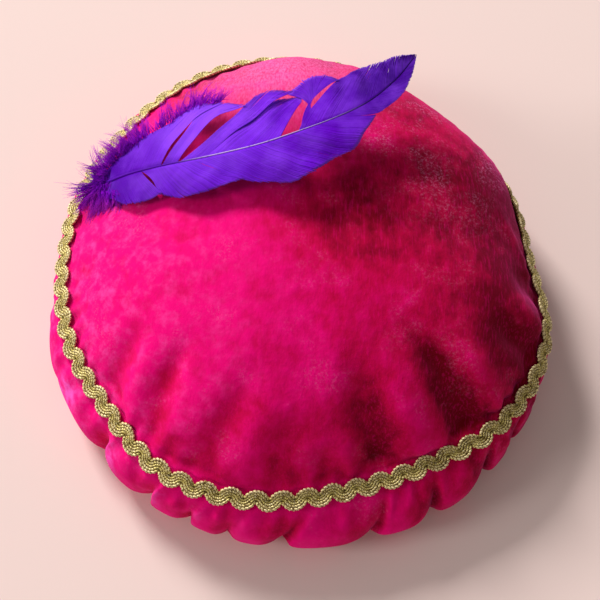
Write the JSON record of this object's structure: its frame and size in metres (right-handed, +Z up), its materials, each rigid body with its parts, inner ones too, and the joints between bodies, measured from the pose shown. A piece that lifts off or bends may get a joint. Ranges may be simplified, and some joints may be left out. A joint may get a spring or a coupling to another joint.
{
  "type": "feathered beret",
  "caption": "Round velvet beret with a puffed crown, a gathered underside round an open head hole, a wavy gimp braid over the seam and a curled feather at one side; worn on the head.",
  "frame": {"origin": "centre of the beret's outline on the plane that it rests on, under the head opening", "axes": "+Z up through the crown, -Y towards the front, +X to the viewer's right when the beret is seen from the front"},
  "size_m": [0.2831, 0.3056, 0.1039],
  "materials": {
    "crown_velvet": "crushed velvet pile, hot pink, paler where the pile lies over and dark in the folds",
    "underside_velvet": "crushed velvet pile, hot pink, gathered",
    "gimp_braid": "twisted metallic gold and green thread wound over cords",
    "quill": "dyed horn, satin, paler along its middle",
    "feather_barbs": "dyed purple barbs with a silky sheen along them",
    "down": "loose dyed purple down"
  },
  "bodies": {
    "root": {"crown": "crown_velvet", "underside": "underside_velvet", "braid": "gimp_braid", "feather_quill": "quill", "feather_vane_back": "feather_barbs", "feather_vane_front": "feather_barbs", "feather_down": "down"}
  },
  "joints": []
}
